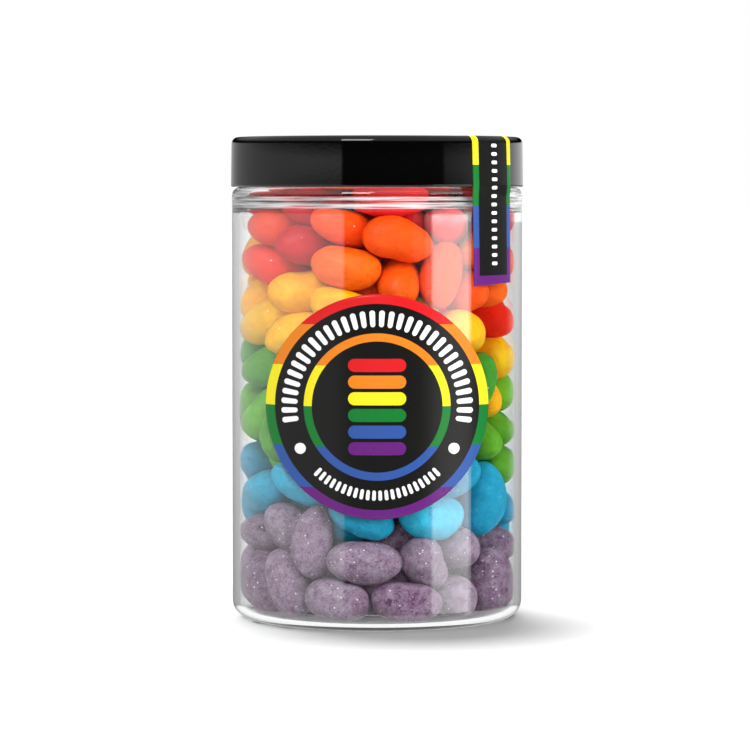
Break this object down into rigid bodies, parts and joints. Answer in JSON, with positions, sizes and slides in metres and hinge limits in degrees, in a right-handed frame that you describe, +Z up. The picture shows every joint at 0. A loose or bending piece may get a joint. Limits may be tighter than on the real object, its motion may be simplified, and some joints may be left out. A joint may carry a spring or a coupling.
{
  "type": "jar of jelly beans",
  "caption": "Clear straight-sided jar with a black screw lid, filled with jelly beans in layers of red, orange, yellow, green, blue and purple, with a round front label.",
  "frame": {"origin": "centre of the base, on the surface that the jar stands on", "axes": "+Z up along the jar's axis, the round label faces -Y, the seal strip lies at the front on the +X side"},
  "size_m": [0.0856, 0.0856, 0.1408],
  "materials": {
    "clear_plastic": "clear, glossy, slightly thick wall",
    "lid_plastic": "black, glossy, smooth",
    "label_paper": "satin film sticker, black with bands of six colours",
    "seal_paper": "satin film sticker, black with a border of six colours",
    "beans_purple": "waxy sugar shell, faintly mottled",
    "beans_blue": "waxy sugar shell, faintly mottled",
    "beans_green": "waxy sugar shell, faintly mottled",
    "beans_yellow": "waxy sugar shell, faintly mottled",
    "beans_orange": "waxy sugar shell, faintly mottled",
    "beans_red": "waxy sugar shell, faintly mottled"
  },
  "bodies": {
    "root": {"jar": "clear_plastic", "lid": "lid_plastic", "round_label": "label_paper", "seal_strip": "seal_paper", "beans_purple": "beans_purple", "beans_blue": "beans_blue", "beans_green": "beans_green", "beans_yellow": "beans_yellow", "beans_orange": "beans_orange", "beans_red": "beans_red"}
  },
  "joints": []
}
